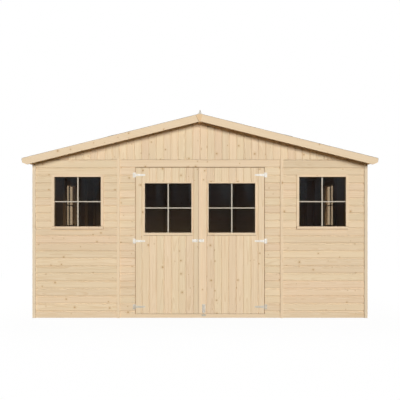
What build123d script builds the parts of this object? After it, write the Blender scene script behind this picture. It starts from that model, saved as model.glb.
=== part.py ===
from build123d import *
import math
import os

os.makedirs("parts", exist_ok=True)

# The frame: X to the right seen from the front, Y from front to back, Z up.
# The origin is on the ground under the middle of the shed. The doors face -Y.

# Boards and framing timber
board_cover = 88.0
board_thickness = 19.0
stud_size = 44.0
joint_gap = 0.3
cut_margin = 20.0

# Walls, measured over the outside of the boards
wall_width = 3876.0
wall_depth = 3000.0
eaves_gap = 5.3

# Floor
bearer_height = 28.0
bearer_width = 58.0
bearer_count = 7
floor_thickness = 16.0
back_stud_count = 7

# Roof
roof_pitch = 14.0
ridge_height = 2353.0
eaves_overhang = 91.0
gable_overhang = 140.0
roof_board_thickness = 16.0
felt_thickness = 3.0
felt_turn_down = 26.0
ridge_roll_width = 38.0
ridge_roll_height = 43.0
ridge_roll_radius = 5.0
barge_width = 88.0
barge_thickness = 18.0
barge_tip_height = 50.0
barge_tip_run = 75.0
barge_tip_radius = 14.0
apex_block_rise = 26.0
apex_block_nose = 9.0
eaves_board_thickness = 16.0
eaves_board_height = 38.0
ridge_beam_thickness = 44.0
ridge_beam_depth = 120.0
ridge_beam_end_depth = 66.0
purlin_thickness = 44.0
purlin_depth = 44.0

# Corner and door trims
corner_trim_width = 38.0
corner_trim_thickness = 16.0
door_trim_width = 35.0
door_trim_thickness = 16.0
door_trim_rise = 13.0

# Windows in the walls
glass_width = 535.0
glass_height = 567.0
glass_thickness = 4.0
glass_setback = 14.0
glass_groove = 6.0
window_head_drop = 104.5
front_window_shift = 16.5
side_window_position = -80.0
lining_thickness = 14.0
wall_trim_side = 36.0
wall_trim_top = 28.0
wall_trim_bottom = 36.0
wall_trim_proud = 14.0
wall_sill_proud = 26.0
wall_sill_fall = 6.0
sill_land = 2.0

# Doorway and door leaves
doorway_width = 1516.0
door_side_width = 195.0
leaf_gap = 5.0
leaf_head_gap = 6.0
leaf_foot_gap = 6.0
meeting_gap = 6.0
meeting_position = -21.0
stop_depth = 18.0
stop_clearance = 5.0
ledge_width = 88.0
ledge_thickness = 22.0
ledge_end_margin = 38.0
ledge_clearance = 14.0
brace_width = 70.0
brace_clearance = 0.5
meeting_strip_width = 35.0
meeting_strip_thickness = 8.0

# Windows in the door leaves
door_window_shift = 7.0
door_window_drop = 173.0
door_trim_bead = 18.0
door_sill_bead = 25.0
door_bead_proud = 8.0
door_sill_bead_proud = 13.0
door_sill_bead_fall = 3.0
door_inner_bead = 30.0
door_inner_bead_thickness = 15.0

# Strap hinges, each placed by the middle of its ledge
hinge_offsets = (-3.0, -15.0, 14.0)
knuckle_radius = 6.0
knuckle_height = 30.0
knuckle_gap = 0.5
knuckle_standoff = 1.0
pin_radius = 3.0
pin_clearance = 0.3
hinge_plate_thickness = 2.5
hinge_plate_height = 57.0
hinge_plate_width = 26.0
strap_length = 117.0
strap_tip_height = 18.0

# Latch on the left leaf, its keeper and the tower bolt on the right leaf
latch_offset = -11.0
latch_plate_height = 34.0
latch_plate_length = 64.0
latch_edge_margin = 3.0
latch_bolt_radius = 5.0
latch_staple_width = 8.0
latch_staple_height = 17.0
keeper_length = 62.0
keeper_staple_width = 16.0
plate_thickness = 2.5
bolt_standoff = 1.0
knob_radius = 4.0
knob_length = 16.0
tower_bolt_gap = 7.0
tower_bolt_width = 40.0
tower_bolt_height = 96.0
tower_bolt_foot_gap = 14.0
tower_rod_radius = 6.0
tower_guard_height = 14.0
tower_guard_width = 24.0

# Sizes that follow
half_width = wall_width / 2
half_depth = wall_depth / 2
front_face = -half_depth
inner_x = half_width - board_thickness
inner_y = half_depth - board_thickness
frame_x = inner_x - stud_size
frame_y = inner_y - stud_size
floor_top = bearer_height + floor_thickness
stud_foot = floor_top + stud_size

# The roof, and the heights of the walls under it
slope = math.tan(math.radians(roof_pitch))
pitch_cos = math.cos(math.radians(roof_pitch))
pitch_sin = math.sin(math.radians(roof_pitch))
half_roof = half_width + eaves_overhang
ridge_underside = ridge_height - roof_board_thickness / pitch_cos
roof_end = half_depth + gable_overhang
deck_end = roof_end - barge_thickness
deck_edge = half_roof - eaves_board_thickness
gable_line = ridge_underside - slope * half_width - eaves_gap
door_head = gable_line - board_cover
side_head_top = ridge_underside - slope * inner_x
purlin_position = half_roof / 2
purlin_bottom = ridge_underside - slope * (purlin_position + purlin_thickness / 2) - purlin_depth
ridge_beam_end_bottom = ridge_underside - ridge_beam_end_depth
barge_drop = barge_width / pitch_cos
half_apex_block = barge_width * pitch_sin

# The doorway, the leaves in it and the hinge pins
half_doorway = doorway_width / 2
door_trim_position = half_doorway + door_side_width
leaf_foot = floor_top + leaf_foot_gap
leaf_head = door_head - leaf_head_gap
leaf_back = front_face + board_thickness
hinge_x = half_doorway - leaf_gap / 2
hinge_y = front_face - knuckle_radius - knuckle_standoff

# The windows in the walls and in the leaves
opening_width = glass_width + 2 * lining_thickness
opening_height = glass_height + 2 * lining_thickness
window_top = door_head - window_head_drop
window_bottom = window_top - opening_height
window_centre_height = (window_top + window_bottom) / 2
front_window_position = (door_trim_position + half_width) / 2 - front_window_shift
door_window_position = half_doorway / 2 - door_window_shift
door_window_height = leaf_head - door_window_drop - opening_height / 2

# The ledges behind the leaves, and the fittings that are screwed to them
door_bead_reach = glass_height / 2 + door_inner_bead + ledge_clearance
bottom_ledge = leaf_foot + ledge_end_margin + ledge_width / 2
middle_ledge = door_window_height - door_bead_reach - ledge_width / 2
top_ledge = door_window_height + door_bead_reach + ledge_width / 2
ledge_heights = (bottom_ledge, middle_ledge, top_ledge)
hinge_heights = [height + offset for height, offset in zip(ledge_heights, hinge_offsets)]
latch_height = middle_ledge + latch_offset


def roof_underside(x):
    return ridge_underside - slope * abs(x)


def roof_top(x):
    return ridge_height - slope * abs(x)


def upright(y):
    """A plane across the shed at depth y, with its normal towards the front."""
    return Plane.XZ.offset(-y)


def block(low, high):
    """A box between two corners, added to the part being built."""
    size = [b - a for a, b in zip(low, high)]
    middle = tuple((a + b) / 2 for a, b in zip(low, high))
    with Locations(middle):
        Box(*size)


def finish(builder, name):
    builder.part.label = name
    export_step(builder.part, f"parts/{name}.step")


def under_roof():
    """Keeps what lies below the roof boards of the sketch being drawn."""
    Polygon(
        (-half_roof, -board_cover),
        (half_roof, -board_cover),
        (half_roof, roof_underside(half_roof)),
        (0, ridge_underside),
        (-half_roof, roof_underside(half_roof)),
        align=None,
        mode=Mode.INTERSECT,
    )


def beam_notches():
    """Cuts the seats of the ridge beam and the purlins out of a gable sketch."""
    with Locations((0, (ridge_beam_end_bottom + ridge_height) / 2)):
        Rectangle(ridge_beam_thickness, ridge_height - ridge_beam_end_bottom, mode=Mode.SUBTRACT)
    with Locations((-purlin_position, (purlin_bottom + ridge_height) / 2),
                   (purlin_position, (purlin_bottom + ridge_height) / 2)):
        Rectangle(purlin_thickness, ridge_height - purlin_bottom, mode=Mode.SUBTRACT)


# Floor: bearers from front to back, and the boarded deck on them
with BuildPart() as floor_bearers:
    for i in range(bearer_count):
        run = 2 * inner_x - bearer_width
        x = -run / 2 + run * i / (bearer_count - 1)
        block((x - bearer_width / 2, -inner_y, 0), (x + bearer_width / 2, inner_y, bearer_height))
finish(floor_bearers, "floor_bearers")

with BuildPart() as floor_deck:
    block((-inner_x, -inner_y, bearer_height), (inner_x, inner_y, floor_top))
finish(floor_deck, "floor_deck")

with BuildPart() as door_sill:
    block((-half_doorway, front_face, 0), (half_doorway, leaf_back, floor_top))
finish(door_sill, "door_sill")


# Front wall: two panels with windows, two narrow panels and the board over the doors
def front_panel(side):
    with BuildPart() as panel:
        with BuildSketch(upright(front_face)):
            low = door_trim_position
            with Locations((side * (low + half_width) / 2, gable_line / 2)):
                Rectangle(half_width - low, gable_line)
            under_roof()
            with Locations((side * front_window_position, window_centre_height)):
                Rectangle(opening_width, opening_height, mode=Mode.SUBTRACT)
        extrude(amount=-board_thickness)
    return panel


finish(front_panel(-1), "front_wall_left")
finish(front_panel(1), "front_wall_right")

with BuildPart() as door_side_panels:
    with BuildSketch(upright(front_face)):
        for side in (-1, 1):
            with Locations((side * (half_doorway + door_trim_position) / 2, door_head / 2)):
                Rectangle(door_trim_position - half_doorway, door_head)
    extrude(amount=-board_thickness)
finish(door_side_panels, "door_side_panels")

with BuildPart() as door_header:
    with BuildSketch(upright(front_face)):
        with Locations((0, (door_head + gable_line) / 2)):
            Rectangle(2 * door_trim_position, gable_line - door_head)
    extrude(amount=-board_thickness)
finish(door_header, "door_header")

with BuildPart() as front_gable:
    with BuildSketch(upright(front_face)):
        with Locations((0, (gable_line + ridge_height) / 2)):
            Rectangle(wall_width, ridge_height - gable_line)
        under_roof()
        beam_notches()
    extrude(amount=-board_thickness)
finish(front_gable, "front_gable")

# Back wall, one boarded face up to the roof
with BuildPart() as back_wall:
    with BuildSketch(upright(half_depth)):
        with Locations((0, ridge_height / 2)):
            Rectangle(wall_width, ridge_height)
        under_roof()
        beam_notches()
    extrude(amount=board_thickness)
finish(back_wall, "back_wall")


# Side walls, with one window each and a top edge that follows the roof
def side_wall(side):
    with BuildPart() as wall:
        with BuildSketch(upright(-inner_y)):
            with Locations((side * (inner_x + half_width) / 2, ridge_height / 2)):
                Rectangle(board_thickness, ridge_height)
            under_roof()
        extrude(amount=-2 * inner_y)
        with Locations((side * (inner_x + half_width) / 2, side_window_position, window_centre_height)):
            Box(board_thickness + cut_margin, opening_width, opening_height, mode=Mode.SUBTRACT)
    return wall


finish(side_wall(-1), "left_wall")
finish(side_wall(1), "right_wall")

# Trims over the corners and beside the doors
with BuildPart() as corner_trims:
    outer_x = half_width + corner_trim_thickness
    outer_y = half_depth + corner_trim_thickness
    with BuildSketch(Plane.XY):
        with Locations((outer_x - corner_trim_width / 2, outer_y - corner_trim_width / 2)):
            Rectangle(corner_trim_width, corner_trim_width)
        Rectangle(wall_width, wall_depth, mode=Mode.SUBTRACT)
    extrude(amount=roof_underside(outer_x))
    mirror(about=Plane.YZ)
    mirror(about=Plane.XZ)
finish(corner_trims, "corner_trims")

with BuildPart() as door_trims:
    with BuildSketch(upright(front_face)):
        for side in (-1, 1):
            with Locations((side * door_trim_position, (gable_line + door_trim_rise) / 2)):
                Rectangle(door_trim_width, gable_line + door_trim_rise)
    extrude(amount=door_trim_thickness)
finish(door_trims, "door_trims")


# Framing: plates, studs and the posts that carry the ridge beam and the purlins.
# Every timber is a piece of its own, a hair short of the timber that it meets.
def stud(x, y, top):
    """An upright timber in a wall frame, centred on x and y."""
    block((x - stud_size / 2, y - stud_size / 2, stud_foot + joint_gap),
          (x + stud_size / 2, y + stud_size / 2, top - joint_gap))


def gable_posts(y):
    """Posts on the head plate under the ridge beam and the purlins, from y backwards."""
    tops = ((0, ridge_beam_end_bottom), (-purlin_position, purlin_bottom), (purlin_position, purlin_bottom))
    for x, top in tops:
        block((x - stud_size / 2, y, gable_line + joint_gap), (x + stud_size / 2, y + stud_size, top))


with BuildPart() as front_framing:
    near = -inner_y
    far = -frame_y
    block((-inner_x, near, door_head), (inner_x, far, gable_line))
    gable_posts(near)
    for side in (-1, 1):
        stud_positions = (
            inner_x - stud_size / 2,
            front_window_position + (opening_width + stud_size) / 2,
            front_window_position - (opening_width + stud_size) / 2,
            door_trim_position,
        )
        for position in stud_positions:
            stud(side * position, (near + far) / 2, door_head)
        plate_ends = sorted((side * (half_doorway + stud_size + joint_gap), side * inner_x))
        block((plate_ends[0], near, floor_top), (plate_ends[1], far, stud_foot))
        rail_ends = sorted((side * (front_window_position - opening_width / 2 + joint_gap),
                            side * (front_window_position + opening_width / 2 - joint_gap)))
        block((rail_ends[0], near, window_bottom - stud_size), (rail_ends[1], far, window_bottom))
        block((rail_ends[0], near, window_top), (rail_ends[1], far, window_top + stud_size))
finish(front_framing, "front_framing")

with BuildPart() as back_framing:
    near = frame_y
    far = inner_y
    block((-inner_x, near, door_head), (inner_x, far, gable_line))
    block((-inner_x, near, floor_top), (inner_x, far, stud_foot))
    gable_posts(near)
    for i in range(back_stud_count):
        run = 2 * inner_x - stud_size
        x = -run / 2 + run * i / (back_stud_count - 1)
        stud(x, (near + far) / 2, door_head)
finish(back_framing, "back_framing")

with BuildPart() as side_framing:
    for side in (-1, 1):
        low, high = sorted((side * frame_x, side * inner_x))
        plate_bottom = side_head_top - stud_size
        with BuildSketch(upright(-frame_y)):
            with Locations(((low + high) / 2, (plate_bottom + ridge_height) / 2)):
                Rectangle(stud_size, ridge_height - plate_bottom)
            under_roof()
        extrude(amount=-2 * frame_y)
        block((low, -frame_y, floor_top), (high, frame_y, stud_foot))
        window_stud = (opening_width + stud_size) / 2
        middle_stud = (frame_y + window_stud) / 2
        for y in (side_window_position - window_stud, side_window_position + window_stud,
                  -middle_stud, middle_stud):
            stud((low + high) / 2, y, plate_bottom)
        rail_low = side_window_position - opening_width / 2 + joint_gap
        rail_high = side_window_position + opening_width / 2 - joint_gap
        block((low, rail_low, window_bottom - stud_size), (high, rail_high, window_bottom))
        block((low, rail_low, window_top), (high, rail_high, window_top + stud_size))
finish(side_framing, "side_framing")

# Door frame: two jambs and a head, each with a stop behind the leaves
with BuildPart() as door_frame:
    stop_face = leaf_back + stop_clearance
    for side in (-1, 1):
        with BuildSketch(Plane.XY.offset(floor_top)):
            with Locations((side * (half_doorway + stud_size / 2), leaf_back + stud_size / 2)):
                Rectangle(stud_size, stud_size)
            with Locations((side * (half_doorway - stop_depth / 2), (stop_face - frame_y) / 2)):
                Rectangle(stop_depth, -frame_y - stop_face)
        extrude(amount=door_head - floor_top)
    head_end = half_doorway - stop_depth - joint_gap
    block((-head_end, stop_face, door_head - stop_depth), (head_end, -frame_y, door_head))
finish(door_frame, "door_frame")

# Roof: ridge beam with shallower ends that pass through the gables
with BuildPart() as ridge_beam:
    with BuildSketch(upright(-deck_end)):
        with Locations((0, (ridge_underside - ridge_beam_depth + ridge_height) / 2)):
            Rectangle(ridge_beam_thickness, ridge_height - ridge_underside + ridge_beam_depth)
        under_roof()
    extrude(amount=-2 * deck_end)
    end_length = deck_end - frame_y
    end_drop = ridge_beam_depth - ridge_beam_end_depth
    for side in (-1, 1):
        with Locations((0, side * (frame_y + end_length / 2), ridge_beam_end_bottom - end_drop / 2)):
            Box(ridge_beam_thickness + cut_margin, end_length, end_drop, mode=Mode.SUBTRACT)
finish(ridge_beam, "ridge_beam")

with BuildPart() as purlins:
    with BuildSketch(upright(-deck_end)):
        with Locations((-purlin_position, (purlin_bottom + ridge_height) / 2),
                       (purlin_position, (purlin_bottom + ridge_height) / 2)):
            Rectangle(purlin_thickness, ridge_height - purlin_bottom)
        under_roof()
    extrude(amount=-2 * deck_end)
finish(purlins, "purlins")


def roof_deck(side):
    with BuildPart() as deck:
        with BuildSketch(upright(-deck_end)):
            with BuildLine():
                Polyline(
                    (0, ridge_underside),
                    (0, ridge_height),
                    (side * deck_edge, roof_top(deck_edge)),
                    (side * deck_edge, roof_underside(deck_edge)),
                    close=True,
                )
            make_face()
        extrude(amount=-2 * deck_end)
    return deck


finish(roof_deck(-1), "roof_deck_left")
finish(roof_deck(1), "roof_deck_right")

with BuildPart() as eaves_boards:
    eaves_top = roof_top(half_roof)
    for side in (-1, 1):
        low, high = sorted((side * deck_edge, side * half_roof))
        block((low, -deck_end, eaves_top - eaves_board_height), (high, deck_end, eaves_top))
finish(eaves_boards, "eaves_boards")

# Felt over both slopes, turned down at the eaves, with a roll along the ridge
with BuildPart() as roof_felt:
    felt_rise = felt_thickness / pitch_cos
    outer = half_roof + felt_thickness
    roll_foot = ridge_height + felt_rise - slope * ridge_roll_width / 2
    with BuildSketch(upright(-roof_end)) as felt_outline:
        with BuildLine():
            Polyline(
                (0, ridge_height),
                (half_roof, roof_top(half_roof)),
                (half_roof, roof_top(half_roof) - felt_turn_down),
                (outer, roof_top(half_roof) - felt_turn_down),
                (outer, roof_top(outer) + felt_rise),
                (ridge_roll_width / 2, roll_foot),
                (0, ridge_height + ridge_roll_height),
                close=True,
            )
        make_face()
        mirror(about=Plane.YZ)
        tip = felt_outline.vertices().sort_by(Axis.Y)[-1]
        fillet(tip, ridge_roll_radius)
    extrude(amount=-2 * roof_end)
    notch_depth = 2 * (ridge_roll_height + felt_thickness)
    for side in (-1, 1):
        with Locations((0, side * (roof_end - barge_thickness / 2), ridge_height)):
            Box(2 * half_apex_block, barge_thickness, notch_depth, mode=Mode.SUBTRACT)
finish(roof_felt, "roof_felt")

# Bargeboards with square-cut upper ends and clipped tips
with BuildPart() as bargeboards:
    tip_bottom = roof_top(half_roof) - barge_tip_height
    clip_x = half_roof - barge_tip_run
    for side in (-1, 1):
        with BuildSketch(upright(-roof_end)) as barge_outline:
            with BuildLine():
                Polyline(
                    (0, ridge_height - barge_drop),
                    (side * half_apex_block, ridge_height - barge_drop + barge_width * pitch_cos),
                    (side * half_roof, roof_top(half_roof)),
                    (side * half_roof, tip_bottom),
                    (side * clip_x, roof_top(clip_x) - barge_drop),
                    close=True,
                )
            make_face()
            tip_corners = barge_outline.vertices().sort_by(Axis.Y)[:2]
            fillet(tip_corners, barge_tip_radius)
        extrude(amount=-barge_thickness)
    mirror(about=Plane.XZ)
finish(bargeboards, "bargeboards")

# Apex blocks: wedges between the upper ends of the bargeboards
with BuildPart() as apex_blocks:
    shoulder_height = ridge_height - barge_drop + barge_width * pitch_cos
    with BuildSketch(upright(-roof_end)):
        with BuildLine():
            Polyline(
                (0, ridge_height - barge_drop),
                (half_apex_block, shoulder_height),
                (apex_block_nose, ridge_height + apex_block_rise),
                (-apex_block_nose, ridge_height + apex_block_rise),
                (-half_apex_block, shoulder_height),
                close=True,
            )
        make_face()
    extrude(amount=-barge_thickness)
    mirror(about=Plane.XZ)
finish(apex_blocks, "apex_blocks")


# Windows: a lining through the wall, a trim outside and a groove for the glass
def face_plane(x, y, z, outward):
    """An upright plane with its origin on a wall face and its normal outwards."""
    across = Vector(0, 0, 1).cross(Vector(*outward))
    return Plane(origin=(x, y, z), x_dir=across, z_dir=Vector(*outward))


def window_frame(face, depth, side, top, bottom, proud, sill_proud, sill_fall, inner_bead):
    pane = (glass_width + 2 * glass_groove, glass_height + 2 * glass_groove)
    with BuildPart() as frame:
        with BuildSketch(face):
            Rectangle(opening_width, opening_height)
        extrude(amount=-depth)
        with BuildSketch(face):
            with Locations((0, (top - bottom) / 2)):
                Rectangle(glass_width + 2 * side, glass_height + top + bottom)
        extrude(amount=proud)
        with BuildSketch(face):
            with Locations((0, -(glass_height + bottom) / 2)):
                Rectangle(glass_width + 2 * side, bottom)
        extrude(amount=sill_proud)
        sill_front = frame.faces().sort_by(Axis(face.origin, face.z_dir))[-1]
        sill_nose = sill_front.edges().sort_by(Axis.Z)[-1]
        chamfer(sill_nose, length=sill_fall, length2=sill_proud - proud - sill_land, reference=sill_front)
        if inner_bead:
            with BuildSketch(face.offset(-depth)):
                Rectangle(glass_width + 2 * inner_bead, glass_height + 2 * inner_bead)
            extrude(amount=-door_inner_bead_thickness)
        with BuildSketch(face.offset(sill_proud)):
            Rectangle(glass_width, glass_height)
        extrude(amount=-(sill_proud + depth + ledge_thickness), mode=Mode.SUBTRACT)
        with BuildSketch(face.offset(-glass_setback)):
            Rectangle(*pane)
        extrude(amount=-glass_thickness, mode=Mode.SUBTRACT)
    return frame


def window_pane(face):
    """The glass of one window, filling its groove. Added to the part being built."""
    with Locations(face.offset(-glass_setback)):
        Box(glass_width + 2 * glass_groove, glass_height + 2 * glass_groove, glass_thickness,
            align=(Align.CENTER, Align.CENTER, Align.MAX))


wall_window_faces = {
    "front_window_left": face_plane(-front_window_position, front_face, window_centre_height, (0, -1, 0)),
    "front_window_right": face_plane(front_window_position, front_face, window_centre_height, (0, -1, 0)),
    "left_window": face_plane(-half_width, side_window_position, window_centre_height, (-1, 0, 0)),
    "right_window": face_plane(half_width, side_window_position, window_centre_height, (1, 0, 0)),
}
wall_depth_at_window = board_thickness + stud_size
for name, face in wall_window_faces.items():
    wall_window = window_frame(face, wall_depth_at_window, wall_trim_side, wall_trim_top,
                               wall_trim_bottom, wall_trim_proud, wall_sill_proud, wall_sill_fall, 0)
    finish(wall_window, name)

with BuildPart() as window_glass:
    for face in wall_window_faces.values():
        window_pane(face)
finish(window_glass, "window_glass")


# Door leaves: boards with a window opening, ledges and a brace behind
def leaf_edges(side):
    """The free edge and the hinge edge of a leaf, as x from the middle of the shed."""
    free = meeting_position + side * meeting_gap / 2
    return free, side * (half_doorway - leaf_gap)


def door_leaf(side):
    low, high = sorted(leaf_edges(side))
    with BuildPart() as leaf:
        with BuildSketch(upright(front_face)):
            with Locations(((low + high) / 2, (leaf_foot + leaf_head) / 2)):
                Rectangle(high - low, leaf_head - leaf_foot)
            with Locations((side * door_window_position, door_window_height)):
                Rectangle(opening_width, opening_height, mode=Mode.SUBTRACT)
        extrude(amount=-board_thickness)
    return leaf


def door_ledges(side):
    low, high = sorted(leaf_edges(side))
    low += ledge_end_margin
    high -= ledge_end_margin
    free, hinge = (high, low) if side < 0 else (low, high)
    with BuildPart() as ledges:
        for height in ledge_heights:
            block((low, leaf_back, height - ledge_width / 2),
                  (high, leaf_back + ledge_thickness, height + ledge_width / 2))
        brace_foot = bottom_ledge + ledge_width / 2 + brace_clearance
        brace_head = middle_ledge - ledge_width / 2 - brace_clearance
        with BuildSketch(upright(leaf_back)):
            with BuildLine():
                Polyline(
                    (hinge, brace_foot),
                    (hinge - side * brace_width, brace_foot),
                    (free, brace_head),
                    (free + side * brace_width, brace_head),
                    close=True,
                )
            make_face()
        extrude(amount=-ledge_thickness)
    return ledges


def door_window(side):
    face = face_plane(side * door_window_position, front_face, door_window_height, (0, -1, 0))
    return window_frame(face, board_thickness, door_trim_bead, door_trim_bead, door_sill_bead,
                        door_bead_proud, door_sill_bead_proud, door_sill_bead_fall, door_inner_bead)


def door_glass(side):
    face = face_plane(side * door_window_position, front_face, door_window_height, (0, -1, 0))
    with BuildPart() as glass:
        window_pane(face)
    return glass


# Strap hinges: a plate and two knuckles with the pin on the jamb, one knuckle on the strap
with BuildPart() as hinge_plates:
    for side in (-1, 1):
        for z in hinge_heights:
            foot = z - hinge_plate_height / 2
            with BuildSketch(Plane.XY.offset(foot)):
                with Locations((side * hinge_x, hinge_y)):
                    Circle(pin_radius)
            extrude(amount=hinge_plate_height)
            end_height = (hinge_plate_height - knuckle_height) / 2 - knuckle_gap
            for bottom in (foot, foot + hinge_plate_height - end_height):
                with BuildSketch(Plane.XY.offset(bottom)):
                    with Locations((side * hinge_x, hinge_y)):
                        Circle(knuckle_radius)
                extrude(amount=end_height)
                low, high = sorted((side * hinge_x, side * (half_doorway + hinge_plate_width)))
                block((low, front_face - hinge_plate_thickness, bottom), (high, front_face, bottom + end_height))
            low, high = sorted((side * (half_doorway + knuckle_radius),
                                side * (half_doorway + hinge_plate_width)))
            block((low, front_face - hinge_plate_thickness, foot), (high, front_face, foot + hinge_plate_height))
finish(hinge_plates, "hinge_plates")


def strap_hinges(side):
    with BuildPart() as straps:
        for z in hinge_heights:
            with BuildSketch(upright(front_face)):
                with BuildLine():
                    root = hinge_x
                    tip = hinge_x - strap_length + strap_tip_height / 2
                    Polyline(
                        (side * root, z - knuckle_height / 2),
                        (side * tip, z - strap_tip_height / 2),
                        (side * tip, z + strap_tip_height / 2),
                        (side * root, z + knuckle_height / 2),
                        close=True,
                    )
                make_face()
                with Locations((side * tip, z)):
                    Circle(strap_tip_height / 2)
            extrude(amount=hinge_plate_thickness)
            with BuildSketch(Plane.XY.offset(z - knuckle_height / 2)):
                with Locations((side * hinge_x, hinge_y)):
                    Circle(knuckle_radius)
            extrude(amount=knuckle_height)
            with BuildSketch(Plane.XY.offset(z - knuckle_height / 2)):
                with Locations((side * hinge_x, hinge_y)):
                    Circle(pin_radius + pin_clearance)
            extrude(amount=knuckle_height, mode=Mode.SUBTRACT)
    return straps


for side, prefix in ((-1, "left_door"), (1, "right_door")):
    finish(door_leaf(side), f"{prefix}_leaf")
    finish(door_ledges(side), f"{prefix}_ledges")
    finish(door_window(side), f"{prefix}_window")
    finish(door_glass(side), f"{prefix}_glass")
    finish(strap_hinges(side), f"{prefix}_hinges")

# Latch: a bolt drawn back in two staples on a plate on the left leaf
left_edge = leaf_edges(-1)[0]
right_edge = leaf_edges(1)[0]
plate_face = front_face - plate_thickness
staple_proud = 2 * latch_bolt_radius + bolt_standoff + plate_thickness
bolt_axis = plate_face - bolt_standoff - latch_bolt_radius

with BuildPart() as left_door_latch:
    high = left_edge - latch_edge_margin
    low = high - latch_plate_length
    half = latch_plate_height / 2
    block((low, plate_face, latch_height - half), (high, front_face, latch_height + half))
    with BuildSketch(Plane.YZ.offset(low)):
        with Locations((bolt_axis, latch_height)):
            Circle(latch_bolt_radius)
    extrude(amount=high - low)
    for x in (low, high - latch_staple_width):
        block((x, plate_face - staple_proud, latch_height - latch_staple_height / 2),
              (x + latch_staple_width, plate_face, latch_height + latch_staple_height / 2))
    with BuildSketch(upright(bolt_axis)):
        with Locations(((low + high) / 2, latch_height)):
            Circle(knob_radius)
    extrude(amount=knob_length)
finish(left_door_latch, "left_door_latch")

with BuildPart() as right_door_keeper:
    low = right_edge + latch_edge_margin
    high = low + keeper_length
    half = latch_plate_height / 2
    block((low, plate_face, latch_height - half), (high, front_face, latch_height + half))
    block((high - keeper_staple_width, plate_face - staple_proud, latch_height - latch_staple_height / 2),
          (high, plate_face, latch_height + latch_staple_height / 2))
finish(right_door_keeper, "right_door_keeper")

# Strip over the meeting edge, on the right leaf, in two lengths around the keeper
with BuildPart() as right_door_strip:
    low = right_edge
    high = low + meeting_strip_width
    notch = latch_plate_height / 2 + latch_edge_margin
    block((low, front_face - meeting_strip_thickness, leaf_foot),
          (high, front_face, latch_height - notch))
    block((low, front_face - meeting_strip_thickness, latch_height + notch),
          (high, front_face, leaf_head))
finish(right_door_strip, "right_door_strip")

# Tower bolt at the foot of the right leaf, drawn up clear of the sill
with BuildPart() as right_door_bolt:
    foot = leaf_foot + tower_bolt_foot_gap
    low = right_edge + meeting_strip_width + tower_bolt_gap
    high = low + tower_bolt_width
    middle = (low + high) / 2
    block((low, plate_face, foot), (high, front_face, foot + tower_bolt_height))
    rod_axis = plate_face - bolt_standoff - tower_rod_radius
    with BuildSketch(Plane.XY.offset(leaf_foot)):
        with Locations((middle, rod_axis)):
            Circle(tower_rod_radius)
    extrude(amount=tower_bolt_height + tower_bolt_foot_gap)
    guard_face = rod_axis - tower_rod_radius - plate_thickness
    for bottom in (foot, foot + tower_bolt_height - tower_guard_height):
        block((middle - tower_guard_width / 2, guard_face, bottom),
              (middle + tower_guard_width / 2, plate_face, bottom + tower_guard_height))
finish(right_door_bolt, "right_door_bolt")
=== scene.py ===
import math
import random

import bmesh
import bpy
import numpy as np
from mathutils import Matrix, Vector, noise


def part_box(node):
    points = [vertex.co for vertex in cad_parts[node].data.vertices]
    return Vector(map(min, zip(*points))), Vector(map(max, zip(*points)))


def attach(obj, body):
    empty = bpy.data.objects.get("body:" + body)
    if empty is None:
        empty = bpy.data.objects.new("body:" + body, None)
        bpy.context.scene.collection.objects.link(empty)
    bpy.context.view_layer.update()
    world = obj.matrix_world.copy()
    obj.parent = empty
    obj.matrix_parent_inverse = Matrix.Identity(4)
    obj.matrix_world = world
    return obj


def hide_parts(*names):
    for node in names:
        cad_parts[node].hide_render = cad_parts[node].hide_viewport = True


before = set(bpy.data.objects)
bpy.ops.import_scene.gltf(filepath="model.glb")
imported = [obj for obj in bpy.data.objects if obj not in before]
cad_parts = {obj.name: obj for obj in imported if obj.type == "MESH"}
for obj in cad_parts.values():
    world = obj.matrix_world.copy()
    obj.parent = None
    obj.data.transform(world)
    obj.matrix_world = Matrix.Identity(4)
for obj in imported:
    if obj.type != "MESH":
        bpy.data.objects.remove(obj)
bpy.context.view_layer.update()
scene = bpy.context.scene
rng = random.Random(11)

# Sizes in metres, read from the frame where a node has them
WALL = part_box("back_wall")
HALF_W = WALL[1].x
HALF_D = WALL[1].y
TRIM_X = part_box("front_wall_right")[0].x
HALF_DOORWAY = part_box("door_sill")[1].x
DOOR_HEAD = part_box("door_header")[0].z
GABLE_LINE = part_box("front_gable")[0].z
DECK_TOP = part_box("roof_deck_left")[1].z
HALF_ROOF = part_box("eaves_boards")[1].x
ROOF_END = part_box("bargeboards")[1].y
FLOOR_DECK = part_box("floor_deck")

PITCH = math.radians(14)
SLOPE = math.tan(PITCH)
COS = math.cos(PITCH)
SIN = math.sin(PITCH)
EAVES_Z = DECK_TOP - SLOPE * HALF_ROOF

# Boards: their thickness, the width that each covers and the joints of the wall boards
BOARD = 0.019
DECK_BOARD = 0.016
DECK_UNDER = DECK_TOP - DECK_BOARD / COS
COVER = 0.088
UPRIGHT_COVER = 0.0855
LEAF_COVER = 0.086
FLOOR_COVER = 0.096
FIRST_JOINT = -0.010
LEAF_JOINT = 0.0775
WALL_JOINT = {"vee": 0.0086, "gap": 0.0021}
# How much darker the top board of a wall is made: painted shade of the roof
TOP_PAINTED_SHADE = 0.9
SLIVER = 0.004
JOINT_ROOM = 0.009
TINY = 1e-6
SAME_PLACE = 2e-6

# Windows: the glass, the opening with its lining, and where the windows are
GLASS_W, GLASS_H = 0.535, 0.567
LINING = 0.014
TOP_TRIM = 0.028
INNER_BEAD = 0.030
OPEN_W, OPEN_H = GLASS_W + 2 * LINING, GLASS_H + 2 * LINING
window_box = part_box("front_window_left")
WINDOW_TOP = window_box[1].z - TOP_TRIM + LINING
WINDOW_LOW = WINDOW_TOP - OPEN_H
WINDOW_Z = WINDOW_TOP - OPEN_H / 2
FRONT_X = abs(window_box[0].x + window_box[1].x) / 2
SIDE_Y = sum(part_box("left_window")[i].y for i in (0, 1)) / 2
DOOR_X = abs(sum(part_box("left_door_window")[i].x for i in (0, 1))) / 2
DOOR_WINDOW_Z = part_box("left_door_window")[1].z - INNER_BEAD - GLASS_H / 2

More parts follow.
